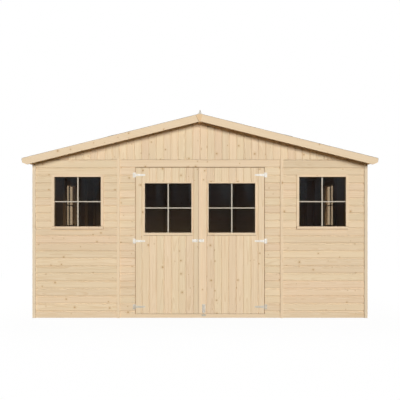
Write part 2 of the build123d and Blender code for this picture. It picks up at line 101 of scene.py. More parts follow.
SIDES = ((-1, "left"), (1, "right"))
FRONT = (0, -1, 0)


def roof_under(x):
    """Height of the underside of the roof boards."""
    return DECK_UNDER - SLOPE * abs(x)


# Materials
WHITE = (1.0, 1.0, 1.0, 1.0)


def srgb(text):
    """A colour written as six hex digits, made linear."""
    out = []
    for i in (0, 2, 4):
        c = int(text[i:i + 2], 16) / 255
        out.append(c / 12.92 if c <= 0.04045 else ((c + 0.055) / 1.055) ** 2.4)
    return (*out, 1.0)


class Net:
    """A material or a world made of nodes. Inputs are given by name, or by number as i0, i1 and so on."""

    def __init__(self, name, new=bpy.data.materials.new, output="OutputMaterial"):
        self.owner = new(name)
        self.owner.use_nodes = True
        self.tree = self.owner.node_tree
        self.tree.nodes.clear()
        self.out = self.tree.nodes.new("ShaderNode" + output)

    def put(self, socket, value):
        if isinstance(value, bpy.types.NodeSocket):
            self.tree.links.new(value, socket)
        else:
            socket.default_value = value

    def add(self, kind, props=(), **inputs):
        node = self.tree.nodes.new("ShaderNode" + kind)
        for key, value in dict(props).items():
            setattr(node, key, value)
        for key, value in inputs.items():
            numbered = key[0] == "i" and key[1:].isdigit()
            self.put(node.inputs[int(key[1:]) if numbered else key.replace("_", " ")], value)
        return node

    def math(self, op, a, b=0.0, c=0.0):
        return self.add("Math", {"operation": op}, i0=a, i1=b, i2=c).outputs[0]

    def times(self, a, b):
        return self.math("MULTIPLY", a, b)

    def vec(self, op, a, b=(0, 0, 0)):
        node = self.add("VectorMath", {"operation": op}, i0=a)
        self.put(node.inputs["Scale" if op == "SCALE" else 1], b)
        return node.outputs["Value" if op == "LENGTH" else 0]

    def noise(self, vector, scale, detail=2.0, rough=0.5, colour=False):
        node = self.add("TexNoise", Vector=vector, Scale=scale, Detail=detail, Roughness=rough)
        return node.outputs["Color" if colour else "Fac"]

    def range(self, value, a, b, c=0.0, d=1.0, smooth=True):
        kind = "SMOOTHSTEP" if smooth else "LINEAR"
        node = self.add("MapRange", {"interpolation_type": kind}, i0=value, i1=a, i2=b, i3=c, i4=d)
        return node.outputs[0]

    def mix(self, factor, a, b):
        node = self.add("Mix", {"data_type": "RGBA"})
        self.put(node.inputs[0], factor)
        self.put(node.inputs[6], a)
        self.put(node.inputs[7], b)
        return node.outputs[2]

    def finish(self, shader):
        self.tree.links.new(shader, self.out.inputs["Surface"])
        return self.owner


def wood(name, pale, warm, dark, end=False, rings=0.42, knots=0.4, fibre=0.00025, rough=0.62):
    """Planed softwood: growth rings cut by the board's faces, knots, streaks and a tone for each board."""
    n = Net(name)
    grain = n.add("Attribute", {"attribute_name": "grain"}).outputs["Vector"]
    tone = n.add("Attribute", {"attribute_name": "tone"}).outputs["Vector"]
    part = n.add("SeparateXYZ", i0=tone).outputs
    place = n.add("SeparateXYZ", i0=grain).outputs
    face = n.add("CombineXYZ", i0=place[0], i1=place[1], i2=0.0).outputs[0]

    # Knots, with a dark rim and grain that bends round them
    cells = n.add("TexVoronoi", {"voronoi_dimensions": "2D"}, Vector=face, Scale=8.0, Randomness=1.0)
    cell = n.add("SeparateColor", i0=cells.outputs["Color"]).outputs
    present = n.math("LESS_THAN", cell[0], knots)
    radius = n.math("MULTIPLY_ADD", n.math("POWER", cell[1], 2.0), 0.042, 0.024)
    wobble = n.math("MULTIPLY_ADD", n.noise(face, 90.0, 1.0), 0.016, -0.008)
    distance = n.math("ADD", cells.outputs["Distance"], wobble)
    ratio = n.math("DIVIDE", distance, radius)
    knot = n.times(n.range(ratio, 1.05, 0.8), present)
    rim = n.times(n.times(n.range(ratio, 1.35, 1.0), n.range(ratio, 0.6, 0.95)), present)
    near = n.times(n.range(ratio, 5.0, 0.8), present)

    # Growth rings: the late wood of each ring is a dark band of its own strength
    slow = n.vec("MULTIPLY", grain, (0.9, 5.0, 5.0))
    bend = n.vec("SUBTRACT", n.noise(slow, 1.0, 2.0, colour=True), (0.5, 0.5, 0.5))
    bent = n.vec("ADD", n.vec("MULTIPLY", grain, (0.0, 1.0, 1.0)), n.vec("MULTIPLY", bend, (0.0, 0.05, 0.05)))
    reach = n.math("MULTIPLY_ADD", near, 0.012, n.vec("LENGTH", bent))
    waves = n.times(reach, 250.0)
    saw = n.math("FRACT", waves)
    late = n.times(n.range(saw, 0.25, 0.93), n.range(saw, 1.0, 0.94))
    count = n.add("TexWhiteNoise", {"noise_dimensions": "1D"}, W=n.math("FLOOR", waves)).outputs["Value"]
    late = n.times(late, n.math("MULTIPLY_ADD", count, 0.7, 0.3))

    # Streaks, fibres and slow changes of colour
    streak = n.noise(n.vec("MULTIPLY", grain, (2.2, 160.0, 160.0)), 1.0, 3.0, 0.6)
    fine = n.noise(n.vec("MULTIPLY", grain, (14.0, 1400.0, 1400.0)), 1.0, 2.0, 0.6)
    cloud = n.noise(n.vec("MULTIPLY", grain, (1.4, 9.0, 9.0)), 1.0, 2.0)

    colour = n.mix(n.range(part[1], 0.0, 1.0, smooth=False), pale, warm)
    colour = n.mix(n.range(cloud, 0.35, 0.75, 0.0, 0.3), colour, warm)
    colour = n.mix(n.times(late, rings), colour, dark)
    colour = n.mix(n.range(streak, 0.35, 0.75, 0.0, 0.26), colour, dark)
    colour = n.mix(n.range(near, 0.0, 1.0, 0.0, 0.32), colour, dark)
    colour = n.mix(n.times(knot, 0.75), colour, n.mix(fine, srgb("bb915d"), srgb("cfa877")))
    colour = n.mix(n.times(rim, 0.6), colour, srgb("8c6843"))
    light = n.math("MULTIPLY_ADD", part[0], 0.09, 0.955)
    light = n.times(light, n.range(fine, 0.2, 0.8, 0.97, 1.03))
    if end:
        light = n.times(light, 0.72)
    colour = n.vec("SCALE", colour, light)

    height = n.math("MULTIPLY_ADD", late, -0.6, fine)
    height = n.math("MULTIPLY_ADD", knot, 0.8, height)
    bump = n.add("Bump", Height=height, Distance=fibre, Strength=1.0).outputs[0]
    shader = n.add("BsdfPrincipled", Base_Color=colour, Roughness=rough, Normal=bump)
    shader.inputs["IOR"].default_value = 1.45
    shader.inputs["Specular IOR Level"].default_value = 0.3
    return n.finish(shader.outputs[0])


def wood_pair(name, pale, warm, dark, **more):
    """The same wood for the faces along the grain and for the darker ends."""
    colours = [srgb(c) for c in (pale, warm, dark)]
    return wood(name, *colours, **more), wood(name + "_end", *colours, end=True, **more)


CLADDING = wood_pair("cladding_wood", "e7d5b6", "e7d0b4", "cdac7e")
TRIM = wood_pair("trim_wood", "e9d5b7", "e9d2b5", "d2b187", knots=0.3)
FRAMING = wood_pair("framing_wood", "dcc19b", "dabb96", "c29a6d", fibre=0.0006, rough=0.75)
FLOOR = wood_pair("floor_wood", "dfc39c", "dcbd97", "c1986a")
ROOF = wood_pair("roof_wood", "dfc5a0", "dcc09b", "c29b6e")
CORNER = wood_pair("corner_wood", "e6d7bd", "e6d4bb", "cfb38d", knots=0.3)
WEDGE = wood_pair("wedge_wood", "e9cda6", "e7c79e", "d3a97b", knots=0.0)
BARS = wood_pair("bar_wood", "ccc5b7", "c9c0af", "b3a792", knots=0.0, rings=0.2)


def felt_material(name, dark, pale, worn):
    """Felt with a coat of coarse grit, a little worn in patches."""
    n = Net(name)
    place = n.add("NewGeometry").outputs["Position"]
    grit = n.add("TexVoronoi", Vector=place, Scale=520.0)
    cell = n.add("SeparateColor", i0=grit.outputs["Color"]).outputs
    patches = n.noise(place, 3.0, 4.0)
    colour = n.mix(cell[0], srgb(dark), srgb(pale))
    colour = n.mix(n.range(patches, 0.35, 0.7, 0.0, 0.45), colour, srgb(worn))
    height = n.math("MULTIPLY_ADD", patches, 0.6, grit.outputs["Distance"])
    bump = n.add("Bump", Height=height, Distance=0.0008, Strength=0.8).outputs[0]
    shader = n.add("BsdfPrincipled", Base_Color=colour, Roughness=0.9, Normal=bump)
    return n.finish(shader.outputs[0])


def metal_material(name, bright, dull, rough, metallic=1.0):
    """Plated steel with a faint crystal pattern, scratches, a duller haze and painted shade near the ground.
    """
    n = Net(name)
    place = n.add("NewGeometry").outputs["Position"]
    spangle = n.add("TexVoronoi", Vector=place, Scale=170.0).outputs["Color"]
    cell = n.add("SeparateColor", i0=spangle).outputs
    haze = n.noise(place, 22.0, 3.0)
    scratch = n.noise(n.vec("MULTIPLY", place, (30.0, 30.0, 900.0)), 1.0, 2.0)
    colour = n.mix(n.range(haze, 0.4, 0.75), bright, dull)
    colour = n.mix(n.times(cell[0], 0.12), colour, dull)
    height = n.add("SeparateXYZ", i0=place).outputs[2]
    # Greyer towards the ground: painted shade
    low_shade = n.times(n.range(height, 0.5, 0.05), n.range(haze, 0.3, 0.6, 0.45, 0.75))
    colour = n.mix(low_shade, colour, srgb("b5ab98"))
    roughness = n.math("MULTIPLY_ADD", scratch, 0.2, rough)
    bump = n.add("Bump", Height=n.math("ADD", cell[1], scratch), Distance=0.0001, Strength=0.5).outputs[0]
    shader = n.add("BsdfPrincipled", Base_Color=colour, Roughness=roughness, Normal=bump)
    shader.inputs["Metallic"].default_value = metallic
    return n.finish(shader.outputs[0])


def glass_material():
    """Thin clear glazing with a faint film of dust, slow waves and a painted bluish reflection in its upper
    panes.
    """
    n = Net("glazing")
    place = n.add("NewGeometry").outputs["Position"]
    film = n.noise(n.vec("MULTIPLY", place, (5.0, 5.0, 1.6)), 1.0, 3.0, 0.6)
    waves = n.add("Bump", Height=n.noise(place, 3.0, 1.0), Distance=0.002, Strength=0.3).outputs[0]
    shade = n.add("LightPath").outputs["Is Shadow Ray"]
    tint = n.mix(shade, (0.79, 0.735, 0.655, 1.0), (0.41, 0.40, 0.365, 1.0))
    clear = n.add("BsdfTransparent", Color=tint).outputs[0]
    gloss = n.add("BsdfGlossy", Color=WHITE, Roughness=0.03, Normal=waves).outputs[0]
    dust = n.add("BsdfDiffuse", Color=srgb("8a8d90")).outputs[0]
    back = n.add("NewGeometry").outputs["Backfacing"]
    view = n.add("Fresnel", IOR=1.2, Normal=waves).outputs[0]
    view = n.times(view, n.math("SUBTRACT", 1.0, back))
    height = n.add("SeparateXYZ", i0=place).outputs[2]
    waver = n.noise(n.vec("MULTIPLY", place, (11.0, 11.0, 1.2)), 1.0, 1.0)
    # A bluish patch in the upper panes: painted reflection
    painted_reflection = n.times(n.range(height, 1.25, 1.5), n.range(waver, 0.42, 0.62, 0.0, 0.026))
    blue = n.add("BsdfDiffuse", Color=srgb("8096a6")).outputs[0]
    body = n.add("MixShader", i0=n.range(film, 0.45, 0.8, 0.0, 0.012), i1=clear, i2=dust).outputs[0]
    body = n.add("MixShader", i0=painted_reflection, i1=body, i2=blue).outputs[0]
    shader = n.add("MixShader", i0=view, i1=body, i2=gloss).outputs[0]
    return n.finish(shader)


FELT = felt_material("mineral_felt", "6f706c", "b8b7b0", "858580")
FELT_EDGE = felt_material("felt_edge", "bfbab0", "dedad0", "cfc9bd")
ZINC = metal_material("bright_zinc", srgb("f7f3ec"), srgb("e2dcd2"), 0.34, 0.35)
NAIL = metal_material("nail_steel", srgb("cfcac0"), srgb("a8a195"), 0.4)
GLASS = glass_material()


# Timber
class Timber:
    """One object made of closed pieces of wood, each with its own grain and tone."""

    def __init__(self):
        self.verts, self.faces, self.ends, self.grain, self.tone = [], [], [], [], []

    def piece(self, verts, faces, axes, tone=None):
        """Adds a closed piece. axes are its directions along the grain, across it and through it. tone is
        how light it is, how warm it is and a third number that only fills the vector."""
        middle = sum((Vector(v) for v in verts), Vector()) / len(verts)
        pith = rng.uniform(0.02, 0.12), rng.choice((-1, 1)) * rng.uniform(0.03, 0.11)
        start = rng.uniform(0, 60), rng.uniform(-0.5, 0.5) * pith[0], pith[1]
        tone = tone or (rng.uniform(0, 1), rng.uniform(0, 1) ** 1.5, rng.random())
        first = len(self.verts)
        for v in verts:
            offset = Vector(v) - middle
            self.verts.append(tuple(v))
            self.grain.append([offset.dot(a) + s for a, s in zip(axes, start)])
            self.tone.append(tone)
        for f in faces:
            a, b, c = (Vector(verts[i]) for i in (f[0], f[1], f[2]))
            normal = (b - a).cross(c - b)
            normal = normal.normalized() if normal.length > 1e-12 else normal
            self.faces.append([first + i for i in f])
            self.ends.append(abs(normal.dot(axes[0])) > 0.8)

    def solid(self, bm, axes, tone=None):
        """Adds the mesh of a closed piece and frees it."""
        bm.verts.index_update()
        faces = [[v.index for v in f.verts] for f in bm.faces]
        self.piece([v.co.copy() for v in bm.verts], faces, axes, tone)
        bm.free()

    def make(self, name, body, slot, pair, nodes=()):
        mesh = bpy.data.meshes.new(name)
        mesh.from_pydata(self.verts, [], self.faces)
        for key, rows in (("grain", self.grain), ("tone", self.tone)):
            layer = mesh.attributes.new(key, "FLOAT_VECTOR", "POINT")
            layer.data.foreach_set("vector", np.array(rows, np.float32).ravel())
        mesh.polygons.foreach_set("material_index", np.array(self.ends, np.int32))
        for material in pair:
            mesh.materials.append(material)
        bm = bmesh.new()
        bm.from_mesh(mesh)
        bmesh.ops.recalc_face_normals(bm, faces=bm.faces)
        bm.to_mesh(mesh)
        bm.free()
        obj = into_scene(name, mesh, body, slot)
        if nodes:
            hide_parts(*nodes)


def linked(name, data):
    obj = bpy.data.objects.new(name, data)
    scene.collection.objects.link(obj)
    return obj


def into_scene(name, mesh, body, slot):
    obj = linked(name, mesh)
    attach(obj, body)
    return obj


def mesh_of(bm, name, material):
    mesh = bpy.data.meshes.new(name)
    bm.to_mesh(mesh)
    bm.free()
    mesh.materials.append(material)
    return mesh


def prism_faces(k):
    """The faces of a prism with k corners at each end: its two ends and then its sides."""
    faces = [list(range(k)), list(range(2 * k - 1, k - 1, -1))]
    return faces + [(i, i + k, (i + 1) % k + k, (i + 1) % k) for i in range(k)]


def clip(points, bound, keep_above):
    """The part of a closed outline on one side of an upright line."""
    out = []
    sign = 1 if keep_above else -1
    for a, b in zip(points, points[1:] + points[:1]):
        da, db = sign * (a[0] - bound), sign * (b[0] - bound)
        if da >= 0:
            out.append(a)
        if (da > 0 and db < 0) or (da < 0 and db > 0):
            t = da / (da - db)
            out.append((a[0] + (b[0] - a[0]) * t, a[1] + (b[1] - a[1]) * t))
    return out


def matchboard(cover, thickness=BOARD, vee=0.0056, gap=0.0007):
    """The section of a tongue-and-groove board. Its tongue points up and its face is at 0."""
    mid = -thickness * 0.55
    tongue, groove = 0.003, 0.0035
    reach, depth = 0.006, 0.007
    gap = min(gap, vee / 4)
    return [
        (gap, -vee), (gap + vee, 0), (cover - gap - vee, 0), (cover - gap, -vee),
        (cover - gap, mid + tongue), (cover + reach, mid + tongue),
        (cover + reach, mid - tongue), (cover - gap, mid - tongue),
        (cover - gap, -thickness), (gap, -thickness),
        (gap, mid - groove), (depth, mid - groove), (depth, mid + groove), (gap, mid + groove),
    ]


def boards(shape, place, starts, cover, across, along, holes=(), shade=0.0, **joint):
    """Boards side by side. place is a matrix from (along, across, outwards) to the frame. starts are where
    the boards begin, and across is the panel's low and high edge. along is where the boards end, as numbers
    or as functions of the place across. A hole is (low, high) across and (low, high) along. All parts of one
    board have the same grain."""
    axes = [place.to_3x3() @ Vector(a) for a in ((1, 0, 0), (0, 1, 0), (0, 0, 1))]
    for start in starts:
        low, high = max(start, across[0]), min(start + cover, across[1])
        if high - low < SLIVER:
            continue
        section = [(w + start, d) for w, d in matchboard(cover, **joint)]
        edges = {c for h in holes for c in h[:2] if low + JOINT_ROOM < c < high - JOINT_ROOM}
        cuts = sorted({low, high} | edges)
        whole = start >= across[0] - TINY, start + cover <= across[1] + TINY
        # shade lowers the board's lightness: painted shade
        tone = (rng.uniform(0, 1) - shade, rng.uniform(0, 1) ** 1.5, rng.random())
        state = rng.getstate()
        for a, b in zip(cuts, cuts[1:]):
            outline = section
            if a > low or not whole[0]:
                outline = clip(outline, a, True)
            if b < high or not whole[1]:
                outline = clip(outline, b, False)
            middle = (a + b) / 2
            spans = [along]
            for h in holes:
                if h[0] < middle < h[1]:
                    spans = [s for lo, hi in spans for s in ((lo, h[2]), (h[3], hi))]
            for lo, hi in spans:
                ends = [(e if callable(e) else (lambda w, e=e: e)) for e in (lo, hi)]
                if ends[1](middle) - ends[0](middle) < SLIVER:
                    continue
                verts = [place @ Vector((e(w), w, d)) for e in ends for w, d in outline]
                rng.setstate(state)
                shape.piece(verts, prism_faces(len(outline)), axes, tone)


def grid(cover, low, high, first=0.0):
    """Where boards of that cover start, so that one joint is at first."""
    k = math.floor((low - first) / cover)
    out = []
    while first + k * cover < high - TINY:
        out.append(first + k * cover)
        k += 1
    return out


def solids(bm):
    """The vertices of each separate solid of a mesh, in a fixed order."""
    left = dict.fromkeys(bm.verts)
    while left:
        group, queue = {}, [next(iter(left))]
        left.pop(queue[0])
        while queue:
            v = queue.pop()
            group[v] = None
            for e in v.link_edges:
                w = e.other_vert(v)
                if w in left:
                    left.pop(w)
                    queue.append(w)
        yield group


def welded(node):
    """The mesh of a CAD node with its faces joined."""
    bm = bmesh.new()
    bm.from_mesh(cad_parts[node].data)
    bmesh.ops.remove_doubles(bm, verts=bm.verts, dist=SAME_PLACE)
    return bm


def solid_boxes(node):
    """The low and high corner of each solid of a CAD node."""
    bm = welded(node)
    out = [[Vector([pick(v.co[i] for v in group) for i in range(3)]) for pick in (min, max)]
           for group in solids(bm)]
    bm.free()
    return out


def ease(bm, edges, width):
    bmesh.ops.bevel(bm, geom=edges, offset=width, segments=2, profile=0.5, affect="EDGES")


def rebuild(node, name, body, slot, pair, edge=0.0015, move=None):
    """Timbers in place of a CAD node: the same solids with eased edges and their own grain."""
    shape = Timber()
    bm = welded(node)
    flat, sharp = 0.003, 0.3
    bmesh.ops.dissolve_limit(bm, angle_limit=flat, verts=bm.verts, edges=bm.edges)
    for group in solids(bm):
        part = bmesh.new()
        made = {v: part.verts.new(move(v.co) if move else v.co) for v in group}
        for f in dict.fromkeys(f for v in group for f in v.link_faces):
            part.faces.new([made[v] for v in f.verts])
        longest = max(part.edges, key=lambda e: (round(e.calc_length(), 4), e.verts[0].co.z))
        along = (longest.verts[1].co - longest.verts[0].co).normalized()
        part.normal_update()
        ease(part, [e for e in part.edges if len(e.link_faces) == 2 and e.calc_face_angle(0) > sharp], edge)
        side = along.cross(Vector((0, 0, 1)) if abs(along.z) < 0.9 else Vector((0, 1, 0))).normalized()
        spans = {}
        for axis in (side, along.cross(side)):
            reach = [v.co.dot(axis) for v in part.verts]
            spans[max(reach) - min(reach)] = axis
        wide = spans[max(spans)]
        shape.solid(part, (along, wide, along.cross(wide)))
    bm.free()
    shape.make(name, body, slot, pair, [node])


def stretched(verts, low, high):
    """Moves the corners of a unit cube to a box between two corners."""
    for v in verts:
        v.co = Vector([(low[i] + high[i]) / 2 + v.co[i] * (high[i] - low[i]) for i in range(3)])


def block(shape, place, low, high, axis, edge=0.0012, tone=None, move=None):
    """A board with eased edges between two corners. place takes it to the frame, and axis is its grain's."""
    part = bmesh.new()
    bmesh.ops.create_cube(part, size=1.0)
    low, high = Vector(low), Vector(high)
    stretched(part.verts, low, high)
    if move:
        for v in part.verts:
            v.co = move(v.co)
    ease(part, part.edges[:], edge)
    part.transform(place)
    turn = place.to_3x3()
    size = high - low
    rest = sorted((i for i in range(3) if i != axis), key=lambda i: -size[i])
    axes = [turn @ Vector([float(i == a) for i in range(3)]) for a in (axis, *rest)]
    shape.solid(part, axes, tone)


# Boarded walls, doors, floor and roof
def placing(origin, along, across, out):
    """The matrix that takes (along, across, outwards) to the frame."""
    m = Matrix((Vector(along), Vector(across), Vector(out))).transposed().to_4x4()
    m.translation = Vector(origin)
    return m


FRONT_ROWS = placing((0, -HALF_D, 0), (1, 0, 0), (0, 0, 1), (0, -1, 0))
FRONT_UPRIGHT = placing((0, -HALF_D, 0), (0, 0, 1), (1, 0, 0), (0, -1, 0))
BACK_ROWS = placing((0, HALF_D, 0), (1, 0, 0), (0, 0, 1), (0, 1, 0))
BACK_UPRIGHT = placing((0, HALF_D, 0), (0, 0, 1), (1, 0, 0), (0, 1, 0))


def courses(shape, place, span, top, holes=(), shade=0.0, **joint):
    """Level boards from the ground to top. The last one is as wide as the height that is left."""
    starts = grid(COVER, 0, top - 0.02, FIRST_JOINT)
    last = starts.pop()
    boards(shape, place, starts, COVER, (0, top), span, holes, **joint)
    # The last board is made darker by shade: painted shade
    boards(shape, place, [last], top - last, (0, top), span, holes, shade=shade, **joint)


def opening(middle):
    """The two edges of a window's opening along a wall."""
    return middle - OPEN_W / 2, middle + OPEN_W / 2


def wall_rows(name, node, place, span, window, top=GABLE_LINE):
    """A wall of level boards with a window. Its top board is made darker, as painted shade of the roof."""
    shape = Timber()
    courses(shape, place, span, top, [(WINDOW_LOW, WINDOW_TOP, *window)], TOP_PAINTED_SHADE, **WALL_JOINT)
    shape.make(name, "shed", "cladding", CLADDING, [node])


for side, word in SIDES:
    low, high = sorted((side * TRIM_X, side * HALF_W))
    wall_rows(f"front_boards_{word}", f"front_wall_{word}", FRONT_ROWS, (low, high), opening(side * FRONT_X))
    wall_place = placing((side * HALF_W, 0, 0), (0, 1, 0), (0, 0, 1), (side, 0, 0))
    inner = HALF_D - BOARD
    wall_rows(f"side_boards_{word}", f"{word}_wall", wall_place, (-inner, inner), opening(SIDE_Y),
              top=roof_under(HALF_W))

narrow = Timber()
for side in (-1, 1):
    low, high = sorted((side * HALF_DOORWAY, side * TRIM_X))
    courses(narrow, FRONT_ROWS, (low, high), DOOR_HEAD, **WALL_JOINT)
narrow.make("door_side_boards", "shed", "cladding", CLADDING, ["door_side_panels"])

header = Timber()
boards(header, FRONT_ROWS, [DOOR_HEAD], GABLE_LINE - DOOR_HEAD, (DOOR_HEAD, GABLE_LINE), (-TRIM_X, TRIM_X))
header.make("door_header_board", "shed", "cladding", CLADDING, ["door_header"])


def gable(shape, place):
    """Upright boards up to the roof, with notches in their tops for the ridge beam and the purlins."""
    beam_notch, purlin_width, past_roof = 0.066, 0.044, 9.0
    foot_gap, roof_gap = 0.0008, 0.0004
    half_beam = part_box("ridge_beam")[1].x
    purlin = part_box("purlins")
    holes = [(-half_beam, half_beam, DECK_UNDER - beam_notch, past_roof)]
    for s in (-1, 1):
        a, b = sorted((s * purlin[1].x, s * (purlin[1].x - purlin_width)))
        holes.append((a, b, purlin[0].z, past_roof))
    for s in (-1, 1):
        starts = grid(UPRIGHT_COVER, 0, HALF_W)
        across = (0, HALF_W) if s > 0 else (-HALF_W, 0)
        if s < 0:
            starts = [-x - UPRIGHT_COVER for x in starts]
        ends = (GABLE_LINE + foot_gap, lambda w: roof_under(w) - roof_gap)
        boards(shape, place, starts, UPRIGHT_COVER, across, ends, holes)
    return shape


gable(Timber(), FRONT_UPRIGHT).make("front_gable_boards", "shed", "cladding", CLADDING, ["front_gable"])
back = Timber()
courses(back, BACK_ROWS, (-HALF_W, HALF_W), GABLE_LINE)
gable(back, BACK_UPRIGHT).make("back_boards", "shed", "cladding", CLADDING, ["back_wall"])

# The leaves' boards stop short of the hinges and reach past the solids at the meeting edge and the foot
HINGE_GAP, MEETING_REACH, FOOT_REACH = 0.003, 0.0018, 0.002
# The board at each leaf's meeting edge: where it starts and ends, and how light it is
MEETING_BOARDS = {"left": (-LEAF_JOINT, 0.0, -0.1), "right": (-0.03, LEAF_JOINT, 0.95)}
for side, word in SIDES:
    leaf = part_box(f"{word}_door_leaf")
    if side < 0:
        edges = (leaf[0].x + HINGE_GAP, leaf[1].x + MEETING_REACH)
    else:
        edges = (leaf[0].x - MEETING_REACH, leaf[1].x - HINGE_GAP)
    hole = (*opening(side * DOOR_X), DOOR_WINDOW_Z - OPEN_H / 2, DOOR_WINDOW_Z + OPEN_H / 2)
    shape = Timber()
    boards(shape, FRONT_UPRIGHT, grid(LEAF_COVER, *edges, side * LEAF_JOINT), LEAF_COVER, edges,
           (leaf[0].z - FOOT_REACH, leaf[1].z), [hole])
    low, high, light = MEETING_BOARDS[word]
    shape.tone = [(light, t[1], t[2]) if low - 1e-4 < v[0] < high + 1e-4 else t
                  for v, t in zip(shape.verts, shape.tone)]
    shape.make(f"{word}_leaf_boards", f"{word}_door", "cladding", CLADDING, [f"{word}_door_leaf"])

floor_boards = Timber()
boards(floor_boards, placing((0, 0, FLOOR_DECK[1].z), (1, 0, 0), (0, 1, 0), (0, 0, 1)),
       grid(FLOOR_COVER, FLOOR_DECK[0].y, FLOOR_DECK[1].y, FLOOR_DECK[0].y), FLOOR_COVER,
       (FLOOR_DECK[0].y, FLOOR_DECK[1].y), (FLOOR_DECK[0].x, FLOOR_DECK[1].x),
       thickness=DECK_BOARD, vee=0.0016)
floor_boards.make("floor_boards", "shed", "floor", FLOOR, ["floor_deck"])

for side, word in SIDES:
    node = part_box(f"roof_deck_{word}")
    down = Vector((side * COS, 0, -SIN))
    place = placing((0, 0, DECK_UNDER), (0, 1, 0), down, (-side * SIN, 0, -COS))
    from_ridge, length = 0.004, max(abs(node[0].x), abs(node[1].x)) / COS
    shape = Timber()
    boards(shape, place, grid(COVER, from_ridge, length), COVER, (from_ridge, length), (node[0].y, node[1].y),
           thickness=DECK_BOARD, vee=0.003)
    shape.make(f"roof_boards_{word}", "shed", "roof_boards", ROOF, [f"roof_deck_{word}"])


# Framing and trims
def trimmed(co):
    """Planes the lower edges of bargeboards and apex blocks, and cuts the tips nearer to their ends."""
    planed, tip_reach = 0.006, 0.018
    lower_edge, end_corner, tip = 0.05, 0.03, 0.1
    below = DECK_TOP - SLOPE * abs(co.x) - co.z
    inward = HALF_ROOF - abs(co.x)
    if below < lower_edge or inward < end_corner:
        return co
    reach = tip_reach if inward < tip else 0.0
    return Vector((co.x + math.copysign(reach, co.x), co.y, co.z + planed - SLOPE * reach))


for node, name in (
    ("floor_bearers", "bearers"), ("front_framing", "front_studs"), ("back_framing", "back_studs"),
    ("side_framing", "side_studs"), ("door_frame", "door_jambs"), ("ridge_beam", "ridge_timber"),
    ("purlins", "purlin_timbers"),
):
    rebuild(node, name, "shed", "framing", FRAMING)
for node, name, pair, more in (
    ("door_sill", "sill_timber", TRIM, {}),
    ("corner_trims", "corner_strips", CORNER, {"edge": 0.004}),
    ("door_trims", "door_strips", TRIM, {}),
    ("bargeboards", "barge_timbers", TRIM, {"move": trimmed}),
    ("eaves_boards", "eaves_timbers", TRIM, {}),
    ("apex_blocks", "apex_blocks_timber", TRIM, {"move": trimmed}),
):
    rebuild(node, name, "shed", "trim", pair, **more)

# The wedge let into the bargeboards at the apex, and a dark strip beside it as painted shade of the gap, from
# the top of the ridge
WEDGE_OUTLINE = [(-0.016, -0.080), (0.004, -0.084), (0.012, -0.066), (0.024, -0.036), (0.028, -0.014),
                 (0.018, -0.004), (-0.020, -0.004), (-0.046, -0.016)]
GAP_SHADE_OUTLINE = [(-0.050, -0.014), (-0.046, -0.014), (-0.014, -0.082), (-0.018, -0.084)]
WEDGE_PROUD, GAP_SHADE_PROUD, APEX_SUNK = 0.0025, 0.0012, 0.001
# A strip this dark stands for the shaded gap beside the wedge: painted shade
GAP_SHADE_TONE = (-6.0, 1.0, 0.5)
wedges, gap_shades = Timber(), Timber()
for s in (-1, 1):
    for shape, points, proud, tone in ((wedges, WEDGE_OUTLINE, WEDGE_PROUD, None),
                                       (gap_shades, GAP_SHADE_OUTLINE, GAP_SHADE_PROUD, GAP_SHADE_TONE)):
        depths = (s * (ROOF_END - APEX_SUNK), s * (ROOF_END + proud))
        verts = [(-s * x, y, DECK_TOP + z) for y in depths for x, z in points]
        axes = (Vector((0, 0, 1)), Vector((1, 0, 0)), Vector((0, 1, 0)))
        shape.piece(verts, prism_faces(len(points)), axes, tone)
gap_shades.make("apex_gap_shades", "shed", "trim", WEDGE)
wedges.make("apex_wedges", "shed", "trim", WEDGE)
for word in ("left", "right"):
    rebuild(f"{word}_door_ledges", f"{word}_ledge_timbers", f"{word}_door", "framing", FRAMING)
rebuild("right_door_strip", "meeting_strip", "right_door", "trim", TRIM)

# Windows
WALL_WINDOW = dict(depth=0.063, side=0.036, top=TOP_TRIM, bottom=0.036, proud=0.014, sill_proud=0.026)
DOOR_WINDOW = dict(depth=BOARD, side=0.018, top=0.018, bottom=0.034, proud=0.008, sill_proud=0.015,
                   inner=INNER_BEAD, inner_thick=0.015)
PLANED = 0.0043
TRIM_EDGE = 0.002
LEVEL_BAR, UPRIGHT_BAR, BAR_DEPTH, BAR_EDGE = 0.0122, 0.0145, 0.007, 0.0015
GLASS_FACES = (-0.014, -0.018)
SEAT = 0.0002
# The height and tone of a dark strip under a door window's sill: a painted shadow of the sill
PAINTED_SHADOW_H, PAINTED_SHADOW_TONE = 0.0045, (-5.5, 1.0, 0.5)


